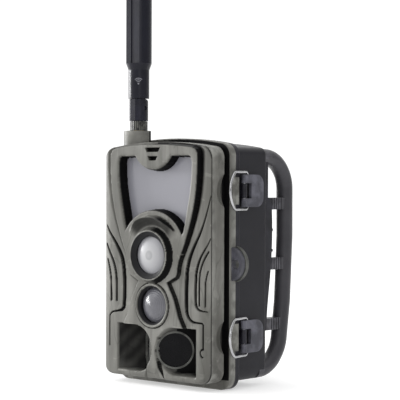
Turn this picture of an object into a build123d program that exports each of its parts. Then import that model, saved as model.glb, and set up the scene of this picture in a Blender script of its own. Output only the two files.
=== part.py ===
"""Trail camera with a hinged front cover, two draw latches, a tilting antenna and an AA battery bay.

Frame: +Z up, the camera looks along -Y, +X is its latch side. The origin is the mouth of the tripod
socket, in the middle of the underside. All sizes are in millimetres.
"""
from build123d import *
from math import cos, radians, sin
import os

# ---- driving dimensions ----
CROWN_RADIUS = 240.0          # arch of the casing's top edge
FACE_Y = -39.2                # front of the raised face plate
PANEL_Y = -36.9               # front of the panel around it
SEAM_Y = -34.0                # joint between the face panel and the front shell
NECK_Y = -23.4               # front of the narrow neck before the flange
FLANGE_Y = -21.2              # front of the cover's flange
SPLIT_Y = -15.85              # joint between cover and base
SPLIT_GAP = 0.1
RIM_Y = -12.0                 # back of the base's rim
BACK_Y = 15.5                 # back of the base
FLANGE_HALF = 45.6            # half widths, from the flange inwards
BODY_HALF = 43.8
FACE_HALF = 43.1
NECK_HALF = 41.2
FLANGE_TOP = 148.8
BODY_LOW = 4.0
BODY_TOP = 146.8
FACE_LOW = 4.6
FACE_TOP = 146.5
WALL = 2.4
CAVITY_HALF = 40.4            # inside of the cover

LENS_Z = 78.8
LENS_FRONT_Y = -43.1          # rim of the lens tube
LENS_RIM_R = 14.9
LENS_BASE_R = 17.0
LENS_GLASS_R = 11.3
PIR_Z = 48.8
PIR_RING_R = 13.2
PIR_BORE_R = 11.8             # opening in the face panel
PIR_LENS_R = 10.5
PIR_DOME_R = 16.0
SIDE_TILT = 40.0              # how far the two side windows turn outwards
SIDE_Z = 22.3
SIDE_RING_R = 11.3
SIDE_GLASS_R = 10.2
SLOPE_START_X = 1.2           # where the slope of a side window meets the face
SIDE_ALONG = 13.2             # from there down the slope to the window's middle
POCKET_HALF = 14.2            # half the height of the pocket in front of a side window
POCKET_WALL = 1.2
WINDOW_Y = -32.3              # front of the infrared window
MICROPHONE_SLOTS = ((5.6, 141.4, 2.4), (3.7, 136.5, 2.2))   # half width, middle Z and height

LATCH_Z = (117.4, 31.3)
LATCH_AXIS = (46.9, -9.9)     # X, Y of the lever's pin
BAIL_AXIS = (46.9, -7.0)      # X, Y where the wire turns in the lever
LEVER_HALF = 9.6
WIRE_R = 0.8
SCOOP_R = 18.9                # hollow beside each latch
SCOOP_DEPTH = 3.2
SCOOP_Y = -19.6
SCOOP_WALL = 1.2
HINGE_AXIS = (-48.6, SPLIT_Y)
HINGE_PIN_R = 1.2
PIN_PLAY = 0.05

EAR_Z = 74.4
EAR_X = 42.7                  # middle of the ears' round outline
COVER_EAR_R = 10.3
BASE_EAR_R = 10.9
EAR_HOLE_X = 48.6
EAR_HOLE_R = 2.9

ANTENNA_X = -25.3
ANTENNA_Y = -24.9
BOSS_CENTRE = (-25.9, -25.4)
BOSS_R = 8.3
BOSS_TOP = 153.7
TILT_Z = 167.6
ANTENNA_TOP = 345.0
BLADE_R = 7.85
ANTENNA_NECK_R = 6.4
NECK_LOW = 173.5
NUT_R = 5.45
NUT_TOP = 159.6
STEM_R = 2.4
SWIVEL_R = 5.75
SWIVEL_TOP = 173.2
TONGUE_R = 3.9
TONGUE_HALF = 2.0
TILT_PIN_R = 1.2

BAR_X = 38.7                  # centre line of the two rear bars
BAR_R = 5.0
BAR_BEND_R = 19.0
RIB_Z = (109.5, 72.9, 36.2)
RIB_HALF = 3.6
TREE_RIB_X = (39.0, 42.6)     # the toothed rib behind each side of the base
TREE_TOOTH_Z = (93.6, 81.2)

CELL_R = 7.15
CELL_LENGTH = 50.0
CELL_PITCH = 14.8
CELL_Y = 3.2
TRAY_LOW = 13.0
TRAY_HIGH = 129.0
JACK = (-35.4, 2.0)           # X, Y of the power inlet
TRIPOD_X = (-12.0, 12.0)      # limits of the tripod boss under the base
TRIPOD_Y = (RIM_Y, 10.0)
TRIPOD_HIGH = 8.0
TRIPOD_INSERT_R = 4.5
TRIPOD_BORE_R = 2.6           # tapping bore of the quarter-inch thread

PANEL_BACK_Y = -16.2          # rear face of the inner panel
PANEL_SCREWS = ((36.5, 11.5), (-36.5, 11.5), (36.5, 134.0), (-36.5, 129.0))
SCREEN_HALF = (21.0, 16.0)
SCREEN_Z = 102.0
KEYS = {"key_up": (0, 70.0), "key_down": (0, 46.0), "key_left": (-12.0, 58.0), "key_right": (12.0, 58.0),
        "key_ok": (0, 58.0)}
KEY_R = 4.0
SWITCH_X = 24.0
SWITCH_Z = 24.0
BOARD_Y = -20.4               # rear face of the main board
CARD = (-32.0, -8.0, 18.0, 50.0)   # X and Z limits of the memory card

os.makedirs("parts", exist_ok=True)


# ---- small helpers ----
def block(x0, x1, y0, y1, z0, z1):
    """Box between two corners."""
    return Pos((x0 + x1) / 2, (y0 + y1) / 2, (z0 + z1) / 2) * Box(x1 - x0, y1 - y0, z1 - z0)


def slab(outline, y0, y1):
    """Solid between the planes Y = y0 and Y = y1 with an outline drawn in X and Z."""
    return Pos(0, y1, 0) * extrude(Plane.XZ * outline, y1 - y0)


def rod_x(radius, x0, x1, y, z):
    return Pos((x0 + x1) / 2, y, z) * Rot(0, 90, 0) * Cylinder(radius, x1 - x0)


def rod_y(radius, y0, y1, x, z):
    return Pos(x, (y0 + y1) / 2, z) * Rot(90, 0, 0) * Cylinder(radius, y1 - y0)


def rod_z(radius, z0, z1, x, y):
    return Pos(x, y, (z0 + z1) / 2) * Cylinder(radius, z1 - z0)


def cone_y(r_front, r_back, y0, y1, x, z):
    """Cone along Y, with one radius at y0 and another at y1."""
    return Pos(x, (y0 + y1) / 2, z) * Rot(90, 0, 0) * Cone(r_back, r_front, y1 - y0)


def group(solids):
    return Compound([solid for part in solids for solid in part.solids()])


def casing_outline(half_width, low, crown, low_r, top_r):
    """Rounded rectangle whose top edge is a shallow arch."""
    shoulder = crown - half_width**2 / (2 * CROWN_RADIUS)
    sides = Polyline((-half_width, shoulder), (-half_width, low), (half_width, low), (half_width, shoulder))
    arch = ThreePointArc((half_width, shoulder), (0, crown), (-half_width, shoulder))
    face = make_face(sides + arch)
    face = fillet(face.vertices().filter_by_position(Axis.Y, low - 0.1, low + 0.1), low_r)
    return fillet(face.vertices().filter_by_position(Axis.Y, shoulder - 0.1, shoulder + 0.1), top_r)


def mirrored_outline(right_points, radius):
    """Face from the points of its right half, its corners rounded."""
    left_points = [(-x, z) for x, z in reversed(right_points) if x > 0.01]
    face = make_face(Polyline(*right_points, *left_points, close=True))
    return fillet(face.vertices(), radius)


def soften(part, axis_plane_y, radius):
    """Round the outer edges of the face that lies in the plane Y = axis_plane_y."""
    return fillet(part.faces().filter_by_position(Axis.Y, axis_plane_y - 0.01, axis_plane_y + 0.01).edges(), radius)


# ---- face ----
def window_outline(grow):
    """Opening of the infrared window: a tongue hangs in from the top, the brow rises from below."""
    sides = [(31.4 + grow, 137.6 + grow), (29.6 + grow, 113.0), (23.5 + grow, 92.0 - grow)]
    face = mirrored_outline(sides, 1.6)
    if grow:
        return face
    tongue = Pos(0, 147.0) * Circle(17.5)
    return face - tongue - Pos(0, LENS_Z) * Circle(27.0)


def plate_outline():
    """Raised plate: it frames the window, narrows past the lens and ends above the side windows."""
    right = [(0, 144.4), (36.9, 141.6), (36.9, 121.0), (33.8, 111.0), (27.3, 93.0), (22.6, 79.5), (21.4, 69.6),
             (12.2, 62.8), (17.4, 53.6), (21.2, 44.7), (23.0, 38.4), (0, 38.4)]
    return mirrored_outline(right, 1.4)


def pocket_outline(side, grow):
    """Opening of a side window's pocket: square at its outer side, round at its inner side."""
    outer = Pos(side * 24.9, SIDE_Z) * Rectangle(16.2 + 2 * grow, 2 * (POCKET_HALF + grow))
    return outer + Pos(side * 16.8, SIDE_Z) * Circle(POCKET_HALF + grow)


def pocket_wedge(side, grow):
    """V-shaped space in front of a side window and of the slope facing it."""
    tilt = radians(SIDE_TILT)
    near = (SLOPE_START_X, FACE_Y)
    deep = (near[0] + 25.0 * cos(tilt), near[1] + 25.0 * sin(tilt) + 1.35 * grow)
    points = [(near[0] - 20 * cos(tilt), near[1] - 20 * sin(tilt) + 1.35 * grow), deep,
              (34.0 + 1.35 * grow, PANEL_Y), (50.0, FACE_Y - 14.0)]
    prism = extrude(make_face(Polyline(*[(side * x, y) for x, y in points], close=True)), 60)
    return slab(pocket_outline(side, grow), FACE_Y - 8, -15) & prism


def gill_lines(side):
    """Centre lines of the grooves that curve down each side of the face."""
    edge = [(41.0, 139.0), (39.2, 119.0), (28.2, 84.5), (26.2, 68.0), (26.2, 52.0), (30.0, 44.5), (39.4, 40.4),
            (39.4, 24.5)]
    first = [(41.4, 107.0), (32.6, 89.5), (31.1, 74.0), (31.1, 54.0), (34.6, 47.2), (41.4, 46.6)]
    second = [(41.4, 81.0), (36.4, 71.5), (35.7, 66.0), (35.7, 50.5)]
    third = [(41.4, 68.5), (40.2, 62.5), (40.2, 50.5)]
    radii = {0: 4.0, 1: 2.6, 2: 4.0, 3: 3.0}
    lines = []
    for index, points in enumerate((edge, first, second, third)):
        lines.append(FilletPolyline(*[(side * x, z) for x, z in points], radius=radii[index]))
    return lines


def face_panel():
    """Front moulding with the raised plate, lens tube, sensor rings, side pockets and grooves."""
    panel = soften(slab(casing_outline(FACE_HALF, FACE_LOW, FACE_TOP, 7, 7), PANEL_Y, SEAM_Y), PANEL_Y, 1.6)
    panel += soften(slab(plate_outline(), FACE_Y, PANEL_Y), FACE_Y, 0.8)
    panel += slab(pocket_outline(1, POCKET_WALL) + pocket_outline(-1, POCKET_WALL), SEAM_Y, -15) & (
        pocket_wedge(1, POCKET_WALL) + pocket_wedge(-1, POCKET_WALL))
    brow = Pos(0, LENS_Z) * Circle(27.0) - Pos(0, LENS_Z) * Circle(23.2) - Pos(0, LENS_Z - 21) * Rectangle(80, 76)
    panel += slab(brow, FACE_Y - 1.6, FACE_Y)
    panel -= slab(window_outline(0), FACE_Y - 3, SEAM_Y + 1)
    panel += cone_y(LENS_RIM_R, LENS_BASE_R, LENS_FRONT_Y, FACE_Y, 0, LENS_Z)
    panel -= rod_y(LENS_RIM_R - 0.6, LENS_FRONT_Y - 1, SEAM_Y + 1, 0, LENS_Z)
    panel += rod_y(PIR_RING_R, FACE_Y - 0.9, FACE_Y, 0, PIR_Z)
    panel -= rod_y(PIR_BORE_R, FACE_Y - 2, SEAM_Y + 1, 0, PIR_Z)
    for side in (1, -1):
        panel -= pocket_wedge(side, 0)
        panel -= side_window_place(side) * Cylinder(SIDE_RING_R + 0.05, 9)
        for line in gill_lines(side):
            panel -= slab(trace(line, 1.1), PANEL_Y - 1, PANEL_Y + 1.3)
    for slot in MICROPHONE_SLOTS:
        panel -= slab(slot_outline(*slot), FACE_Y - 1, SEAM_Y + 1)
    return panel


def slot_outline(half_width, centre_z, height):
    return Pos(0, centre_z) * RectangleRounded(2 * half_width, height, height * 0.35)


def side_window_place(side):
    """Location at the middle of a side window's front, its local Z pointing out of the camera."""
    tilt = radians(SIDE_TILT)
    x = SLOPE_START_X + SIDE_ALONG * cos(tilt)
    y = FACE_Y + SIDE_ALONG * sin(tilt)
    return Pos(side * x, y, SIDE_Z) * Rot(0, 0, side * SIDE_TILT) * Rot(90, 0, 0)


def infrared_window():
    return slab(window_outline(1.8), WINDOW_Y, WINDOW_Y + 1.5)


def lens_ring():
    """Dark dish between the tube's rim and the lens."""
    ring = rod_y(LENS_RIM_R - 0.65, LENS_FRONT_Y + 0.3, SEAM_Y + 0.4, 0, LENS_Z)
    ring -= cone_y(LENS_RIM_R - 1.0, LENS_GLASS_R, LENS_FRONT_Y + 0.3, LENS_FRONT_Y + 2.2, 0, LENS_Z)
    return ring - rod_y(LENS_GLASS_R, LENS_FRONT_Y + 2.2, SEAM_Y + 0.4, 0, LENS_Z)


def lens_cover():
    """Frosted cover lens with a shallow dome."""
    dome = Pos(0, LENS_FRONT_Y + 1.0 + 30.0, LENS_Z) * Sphere(30.0)
    return rod_y(LENS_GLASS_R, LENS_FRONT_Y, LENS_FRONT_Y + 4.6, 0, LENS_Z) & dome


def pir_ring():
    ring = rod_y(PIR_BORE_R - 0.05, FACE_Y - 0.2, SEAM_Y + 0.3, 0, PIR_Z)
    ring -= cone_y(PIR_BORE_R - 0.4, PIR_LENS_R, FACE_Y - 0.2, FACE_Y + 1.2, 0, PIR_Z)
    return ring - rod_y(PIR_LENS_R, FACE_Y + 1.2, SEAM_Y + 0.3, 0, PIR_Z)


def pir_lens():
    """Domed Fresnel lens, 1 mm thick."""
    outer = Pos(0, FACE_Y - 0.7 + PIR_DOME_R, PIR_Z) * Sphere(PIR_DOME_R)
    inner = Pos(0, FACE_Y + 0.3 + PIR_DOME_R, PIR_Z) * Sphere(PIR_DOME_R)
    return rod_y(PIR_LENS_R - 0.02, FACE_Y - 2, SEAM_Y + 0.3, 0, PIR_Z) & (outer - inner)


def side_windows():
    rings = []
    lenses = []
    sensors = []
    for side in (1, -1):
        place = side_window_place(side)
        rings.append(place * Pos(0, 0, -1.0) * (Cylinder(SIDE_RING_R, 2.6) - Cylinder(SIDE_GLASS_R, 2.6)))
        lenses.append(place * Pos(0, 0, -1.6) * Cylinder(SIDE_GLASS_R - 0.02, 1.2))
        sensors.append(place * Pos(0, 0, -4.2) * Cylinder(4.1, 3.6))
    return {"side_window_rings": group(rings), "side_sensor_lenses": group(lenses),
            "side_sensors": group(sensors)}


# ---- cover shell and what it holds ----
def shell_block():
    body = slab(casing_outline(FACE_HALF, FACE_LOW, FACE_TOP, 7, 7), SEAM_Y, NECK_Y)
    body += slab(casing_outline(NECK_HALF, FACE_LOW + 1.1, FACE_TOP - 1.1, 6, 6), NECK_Y, FLANGE_Y)
    flange = slab(casing_outline(FLANGE_HALF, 0, FLANGE_TOP, 8, 8), FLANGE_Y, SPLIT_Y - SPLIT_GAP)
    return body + soften(flange, FLANGE_Y, 1.0)


def hinge_knuckle(y_wall, z0, z1, half_width):
    """Barrel round the hinge pin with a web back to the flange."""
    x, y = HINGE_AXIS
    barrel = rod_z(2.6, z0, z1, x, y)
    web = block(x, -half_width + 0.6, min(y, y_wall), max(y, y_wall), z0, z1)
    return barrel + web - rod_z(HINGE_PIN_R + PIN_PLAY, z0 - 1, z1 + 1, x, y)


def front_shell():
    shell = shell_block()
    shell += rod_z(BOSS_R, 138.0, BOSS_TOP, *BOSS_CENTRE)
    scoops = []
    for centre in LATCH_Z:
        scoops.append(latch_scoop(centre, 0))
        shell -= scoops[-1]
    shell -= slab(casing_outline(CAVITY_HALF, 7.3, 143.8, 5, 5), WINDOW_Y, SPLIT_Y)
    shell -= slab(window_outline(0), SEAM_Y - 1, WINDOW_Y + 1)
    shell -= rod_y(LENS_RIM_R - 0.6, SEAM_Y - 1, WINDOW_Y + 1, 0, LENS_Z)
    shell -= rod_y(PIR_RING_R - 1.4, SEAM_Y - 1, WINDOW_Y + 1, 0, PIR_Z)
    for slot in MICROPHONE_SLOTS:
        shell -= slab(slot_outline(*slot), SEAM_Y - 1, WINDOW_Y + 1)
    shell -= slab(pocket_outline(1, POCKET_WALL + 0.2) + pocket_outline(-1, POCKET_WALL + 0.2), SEAM_Y - 1, -18)
    shell -= block(-5.0, 5.0, SEAM_Y - 1, -18, 10.0, 35.0)
    shell -= rod_z(3.3, 130, BOSS_TOP + 1, ANTENNA_X, ANTENNA_Y)
    for centre, scoop in zip(LATCH_Z, scoops):
        wall = latch_scoop(centre, SCOOP_WALL) & block(0, CAVITY_HALF + 0.4, FACE_Y, NECK_Y, 0, FACE_TOP)
        shell += wall - scoop
    for z0, z1 in ((19.2, 30.0), (118.8, 129.6)):
        shell += hinge_knuckle(SPLIT_Y - 3.2, z0, z1, FLANGE_HALF)
    for x, z in PANEL_SCREWS:
        shell += rod_y(2.6, WINDOW_Y, PANEL_BACK_Y - 1.6, x, z) - rod_y(1.1, PANEL_BACK_Y - 8, PANEL_BACK_Y, x, z)
    return shell


def latch_scoop(centre, grow):
    """Shallow hollow in the shell's side, which leaves room for a finger behind the latch's wire."""
    ball = Pos(FACE_HALF + SCOOP_R - SCOOP_DEPTH, SCOOP_Y, centre) * Sphere(SCOOP_R + grow)
    return ball & block(30, 60, FACE_Y, NECK_Y, 0, FACE_TOP)


def cover_padlock_ear():
    """Ear on the cover's flange, with its half of the padlock hole."""
    y_back = SPLIT_Y - SPLIT_GAP
    ear = soften(slab(Pos(EAR_X, EAR_Z) * Circle(COVER_EAR_R), y_back - 3.8, y_back), y_back - 3.8, 0.8)
    ear -= block(0, FLANGE_HALF, -30, 0, 0, FLANGE_TOP)
    return ear - rod_y(EAR_HOLE_R, y_back - 5, y_back + 1, EAR_HOLE_X, EAR_Z)


def base_padlock_ear():
    """Ear on the base's rim, behind the cover's ear."""
    ear = soften(slab(Pos(EAR_X, EAR_Z) * Circle(BASE_EAR_R), SPLIT_Y, SPLIT_Y + 3.0), SPLIT_Y + 3.0, 0.8)
    ear -= block(0, FLANGE_HALF, -30, 0, 0, FLANGE_TOP)
    return ear - rod_y(EAR_HOLE_R, SPLIT_Y - 1, SPLIT_Y + 4, EAR_HOLE_X, EAR_Z)


def latch_hook(centre):
    """Block with a lip that the latch's wire pulls on. It overhangs the base's rim with a small gap."""
    root = block(FLANGE_HALF, 47.0, -20.2, SPLIT_Y - SPLIT_GAP, centre - 8.0, centre + 8.0)
    lip = block(FLANGE_HALF + 0.35, 47.0, -17.0, -14.4, centre - 8.0, centre + 8.0)
    return fillet((root + lip).edges().filter_by(Axis.Z).sort_by(Axis.X)[-2:], 0.4)


def inner_panel():
    """Plate behind the electronics, with the screen opening, key holes and slots."""
    panel = slab(casing_outline(40.0, 7.7, 143.4, 5, 5), PANEL_BACK_Y - 1.6, PANEL_BACK_Y)
    panel -= slab(Pos(0, SCREEN_Z) * Rectangle(2 * SCREEN_HALF[0], 2 * SCREEN_HALF[1]), -19, -15)
    for x, z in KEYS.values():
        panel -= rod_y(KEY_R + 0.25, -19, -15, x, z)
    panel -= block(SWITCH_X - 6.6, SWITCH_X + 6.6, -19, -15, SWITCH_Z - 2.2, SWITCH_Z + 2.2)
    panel -= block(CARD[0] - 2.0, CARD[1] + 2.0, -19, -15, 12.6, 26.0)
    for column in range(5):
        panel -= block(28.0 + 1.8 * column, 28.9 + 1.8 * column, -19, -15, 60.0, 72.0)
    for x, z in PANEL_SCREWS:
        panel -= rod_y(1.4, -19, -15, x, z)
    return panel


def screws_along_y(places, y_head, length):
    """Pan-head screws, their heads at y_head and their shanks running towards -Y."""
    screws = []
    for x, z in places:
        head = rod_y(2.2, y_head - 0.9, y_head, x, z)
        shank = rod_y(1.0, y_head - length, y_head - 0.9, x, z)
        slots = block(x - 1.3, x + 1.3, y_head - 0.5, y_head + 1, z - 0.25, z + 0.25)
        slots += block(x - 0.25, x + 0.25, y_head - 0.5, y_head + 1, z - 1.3, z + 1.3)
        screws.append(head + shank - slots)
    return group(screws)


def key(x, z):
    """Round key with a wider foot behind the panel and a shallow dish for the finger."""
    cap = rod_y(KEY_R, -19.6, PANEL_BACK_Y - 0.1, x, z)
    foot = rod_y(KEY_R + 0.9, -19.6, -18.7, x, z)
    return cap + foot - Pos(x, PANEL_BACK_Y + 13.4, z) * Sphere(14.0)


def mode_switch():
    """Sliding switch with a ribbed finger pad."""
    foot = block(SWITCH_X - 2.6, SWITCH_X + 2.6, -19.6, -18.1, SWITCH_Z - 3.2, SWITCH_Z + 3.2)
    pad = block(SWITCH_X - 1.9, SWITCH_X + 1.9, -18.2, PANEL_BACK_Y - 0.1, SWITCH_Z - 1.9, SWITCH_Z + 1.9)
    for step in (-1.2, 0.0, 1.2):
        pad -= block(SWITCH_X + step - 0.25, SWITCH_X + step + 0.25, -16.7, -15, SWITCH_Z - 2, SWITCH_Z + 2)
    return foot + pad


def electronics():
    """Boards and components fixed inside the cover."""
    parts = {}
    parts["main_board"] = block(-33.0, 33.0, BOARD_Y - 1.0, BOARD_Y, 16.0, 128.0)
    chips = [block(-14, -2, BOARD_Y - 2.2, BOARD_Y - 1.0, 108, 120),
             block(4, 18, BOARD_Y - 2.0, BOARD_Y - 1.0, 106, 120),
             block(20, 32, BOARD_Y - 2.8, BOARD_Y - 1.0, 60, 84)]
    parts["main_chips"] = group(chips)
    parts["screen"] = block(-20.8, 20.8, BOARD_Y, PANEL_BACK_Y - 0.4, SCREEN_Z - 15.8, SCREEN_Z + 15.8)
    parts["speaker"] = rod_y(7.0, BOARD_Y, -17.9, 31.9, 66.0)
    parts["card_socket"] = card_socket()
    parts["led_board"] = block(-31.0, 31.0, -27.4, -26.0, 108.5, 136.0)
    leds = []
    for row in range(3):
        for column in range(8):
            x = -25.9 + 7.4 * column
            z = 113.0 + 8.2 * row
            dome = Pos(x, -29.0, z) * Sphere(1.6)
            leds.append(rod_y(1.6, -29.0, -27.4, x, z) + dome)
    parts["infrared_leds"] = group(leds)
    barrel = rod_y(8.6, -37.0, -31.0, 0, LENS_Z) + rod_y(6.4, -31.0, -28.4, 0, LENS_Z)
    parts["lens_barrel"] = barrel - rod_y(4.4, -38.0, -28.0, 0, LENS_Z)
    parts["taking_lens"] = rod_y(4.38, -37.4, -34.0, 0, LENS_Z) & (Pos(0, -27.6, LENS_Z) * Sphere(9.0))
    carrier = block(-11.0, 11.0, -28.4, -24.8, LENS_Z - 7.0, LENS_Z + 7.0)
    carrier -= block(-9.0, 9.0, -27.4, -25.6, LENS_Z - 4.6, LENS_Z + 4.6)
    carrier -= rod_y(3.6, -29, -24, 0, LENS_Z)
    parts["filter_carrier"] = carrier
    slider = block(-8.8, 3.0, -27.1, -25.9, LENS_Z - 4.3, LENS_Z + 4.3)
    parts["filter_slider"] = slider - rod_y(2.5, -28, -25, 0, LENS_Z) - rod_y(2.5, -28, -25, -5.8, LENS_Z)
    parts["pir_sensor"] = rod_y(4.4, -33.4, -29.2, 0, PIR_Z) + rod_y(5.0, -29.2, -28.4, 0, PIR_Z)
    parts["sensor_boards"] = group([block(-12.0, 12.0, -24.8, -23.6, LENS_Z - 12, LENS_Z + 12),
                                    block(-14.0, 14.0, -28.4, -27.0, 40.5, 59.0)])
    parts["microphone"] = rod_y(3.0, -30.2, -28.4, 0, 139.6)
    return parts


def memory_card():
    """Card with a clipped corner and a ridge for the fingernail."""
    x0, x1, z0, z1 = CARD
    card = block(x0, x1, -19.7, -18.3, z0, z1)
    card -= Pos(x1, -19, z1) * Rot(0, 45, 0) * Box(5.6, 4, 5.6)
    return card - block(x0 + 4, x1 - 4, -18.6, -18, z0 + 1.2, z0 + 2.0)


def card_socket():
    """Metal cage that the card slides in."""
    x0, x1, z0, z1 = CARD
    cage = block(x0 - 1.6, x1 + 1.6, BOARD_Y, -17.9, z0 + 9.0, z1 + 1.6)
    return cage - block(x0 - 0.1, x1 + 0.1, -19.8, -18.2, z0, z1 + 0.4)


# ---- antenna ----
def antenna_socket():
    """Threaded socket with a hexagonal flange inside the cover."""
    x, y = ANTENNA_X, ANTENNA_Y
    jack = rod_z(3.25, 140.5, BOSS_TOP, x, y) + rod_z(3.1, BOSS_TOP, BOSS_TOP + 4.2, x, y)
    jack += extrude(Pos(x, y, 139.4) * RegularPolygon(4.6, 6), 2.0)
    return jack - rod_z(1.0, 150, BOSS_TOP + 5, x, y)


def antenna_nut():
    """Nut that screws onto the socket and holds the swivel's stem."""
    x, y = ANTENNA_X, ANTENNA_Y
    nut = rod_z(NUT_R, BOSS_TOP + 0.3, NUT_TOP, x, y) - rod_z(3.15, BOSS_TOP - 1, BOSS_TOP + 4.4, x, y)
    return nut - rod_z(STEM_R + PIN_PLAY, BOSS_TOP, NUT_TOP + 1, x, y)


def antenna_swivel():
    """Knuckle that turns in the nut; its slot is open to the back, where the antenna folds down."""
    x, y = ANTENNA_X, ANTENNA_Y
    stem = rod_z(STEM_R, BOSS_TOP + 4.5, NUT_TOP + 0.6, x, y)
    knuckle = rod_z(SWIVEL_R, NUT_TOP + 0.3, SWIVEL_TOP, x, y) & block(x - 6, x + 6, y - 5.4, y + 5.4, 150, 180)
    round_back = rod_x(5.4, x - 6, x + 6, y, TILT_Z) + block(x - 6, x + 6, y - 6, y + 6, 150, TILT_Z)
    knuckle &= round_back + block(x - 6, x + 6, y - 6, y, 150, SWIVEL_TOP)
    knuckle -= block(x - TONGUE_HALF - 0.3, x + TONGUE_HALF + 0.3, y - TONGUE_R - 0.15, y + 7, 163.4, 176)
    return stem + knuckle - rod_x(TILT_PIN_R + PIN_PLAY, x - 7, x + 7, y, TILT_Z)


def antenna_blade():
    """Flat aerial on a round neck, with the tongue that tilts in the knuckle."""
    x, y = ANTENNA_X, ANTENNA_Y
    tongue = rod_x(TONGUE_R, x - TONGUE_HALF, x + TONGUE_HALF, y, TILT_Z)
    tongue += block(x - TONGUE_HALF, x + TONGUE_HALF, y - TONGUE_R, y + TONGUE_R, TILT_Z, NECK_LOW + 1)
    neck = rod_z(ANTENNA_NECK_R, NECK_LOW, 191.0, x, y) + Pos(x, y, 193.0) * Cone(ANTENNA_NECK_R, BLADE_R, 4.0)
    blade = extrude(Pos(x, y, 195.0) * blade_section(), ANTENNA_TOP - 195.0)
    blade = fillet(blade.faces().sort_by(Axis.Z)[-1].edges(), 1.2)
    return tongue + neck + blade - rod_x(TILT_PIN_R + PIN_PLAY, x - 7, x + 7, y, TILT_Z)


def blade_section():
    """Flattened section with a shallow groove along each broad side."""
    section = Circle(BLADE_R) & Rectangle(2 * BLADE_R, 11.0)
    for side in (1, -1):
        section -= Pos(0, side * 5.9) * Rectangle(3.0, 1.6)
    return section


# ---- base ----
def base_block():
    body = slab(casing_outline(BODY_HALF, BODY_LOW, BODY_TOP, 7, 4.5), RIM_Y, BACK_Y)
    return soften(body, BACK_Y, 2.5)


def base_shell():
    shell = base_block()
    rim = slab(casing_outline(FLANGE_HALF, 0, FLANGE_TOP, 8, 8), SPLIT_Y, RIM_Y)
    shell += soften(rim, RIM_Y, 0.8)
    shell -= slab(casing_outline(BODY_HALF - WALL, 9.0, BODY_TOP - WALL, 5, 5), SPLIT_Y - 1, BACK_Y - WALL)
    shell -= gasket_ring(0)
    shell -= block(*TRIPOD_X, *TRIPOD_Y, -1, TRIPOD_HIGH)
    shell -= rod_z(3.7, -1, 10, *JACK)
    for z0, z1 in ((30.4, 41.2), (107.6, 118.4)):
        shell += hinge_knuckle(SPLIT_Y + 3.2, z0, z1, FLANGE_HALF)
    return shell


def gasket_ring(shrink):
    outer = casing_outline(43.7 - shrink, 1.9 + shrink, FLANGE_TOP - 1.9 - shrink, 7, 7)
    inner = casing_outline(42.3 + shrink, 3.3 - shrink, FLANGE_TOP - 3.3 + shrink, 6, 6)
    return slab(outer - inner, SPLIT_Y, SPLIT_Y + 1.5)


def latch_lug(centre):
    x, y = LATCH_AXIS
    barrel = rod_z(1.7, centre - 4.2, centre + 4.2, x, y)
    web = block(BODY_HALF, x, y - 1.1, y + 1.7, centre - 4.2, centre + 4.2)
    return barrel + web - rod_z(0.8, centre - 5, centre + 5, x, y)


def tree_rib(side):
    """Bowed rib behind the base that bears on the bark, with two small teeth."""
    bow = [(1.0, 33.0), (2.4, 50.0), (4.8, 68.0), (6.0, 82.0), (6.0, 104.5)]
    edge = Spline(*[(BACK_Y + out, z) for out, z in bow])
    end = Polyline(*[(BACK_Y + out, z) for out, z in [(6.0, 104.5), (6.0, 113.0), (2.2, 113.0), (2.2, 136.0),
                                                      (-3.0, 136.0), (-3.0, 33.0), (1.0, 33.0)]])
    rib = Pos(TREE_RIB_X[0], 0, 0) * extrude(Plane.YZ * make_face(edge + end), TREE_RIB_X[1] - TREE_RIB_X[0])
    for z in TREE_TOOTH_Z:
        rib += rod_x(1.0, *TREE_RIB_X, BACK_Y + 6.0, z)
    rib -= base_block()
    return rib if side > 0 else mirror(rib, Plane.YZ)


def rear_bar(side):
    """Round strap bar behind one side of the base, with three ribs back to the base."""
    x = side * BAR_X
    route = [(9.0, 138.2), (28.5, 137.2), (38.4, 125.0), (38.6, 90.0), (36.4, 50.0), (32.6, 22.0), (22.5, 9.6),
             (9.0, 9.3)]
    path = FilletPolyline(*[(x, y, z) for y, z in route], radius=BAR_BEND_R)
    section = Plane(origin=path @ 0, z_dir=path % 0) * Circle(BAR_R)
    bar = sweep(section, path=path)
    for centre in RIB_Z:
        reach = 38.0 if centre > 50 else 34.8
        rib = block(BAR_X - 3.2, BAR_X + 3.2, BACK_Y - 4.0, reach, centre - RIB_HALF, centre + RIB_HALF)
        for groove in range(5):
            y_groove = BACK_Y + 6.4 + 2.2 * groove
            rib -= block(BAR_X + 2.7, BAR_X + 4, y_groove, y_groove + 0.9, 0, 150)
        bar += rib if side > 0 else mirror(rib, Plane.YZ)
    return bar - base_block() - tree_rib(side)


def latch_lever(centre):
    """Lever plate that swings on its front barrels; its back end is round."""
    x, y = LATCH_AXIS
    plan = Pos(-1.9, centre) * Rectangle(15.2, 2 * LEVER_HALF) + Pos(3.0, centre) * Rectangle(7.0, 2 * LEVER_HALF)
    plan = fillet(plan.vertices().filter_by_position(Axis.X, 6.4, 6.6), 6.0)
    plate = extrude(Plane.YZ * plan, 2.2)
    plate = Pos(x - 0.8, 0, 0) * plate
    for end in (-1, 1):
        plate += rod_z(1.7, centre + end * 7.05 - 2.55, centre + end * 7.05 + 2.55, x, y)
    plate -= block(40, 55, y - 2.4, y + 5.2, centre - 4.5, centre + 4.5)
    plate -= rod_z(0.85, centre - 11, centre + 11, x, y)
    for end in (-1, 1):
        plate -= rod_z(WIRE_R + PIN_PLAY, centre + end * 8.6 - 1.2, centre + end * 8.6 + 1.2, *BAIL_AXIS)
        plate -= rod_z(WIRE_R + 0.4, centre + end * 9.4 - 0.5, centre + end * 9.4 + 0.5, *BAIL_AXIS)
    return plate


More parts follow.
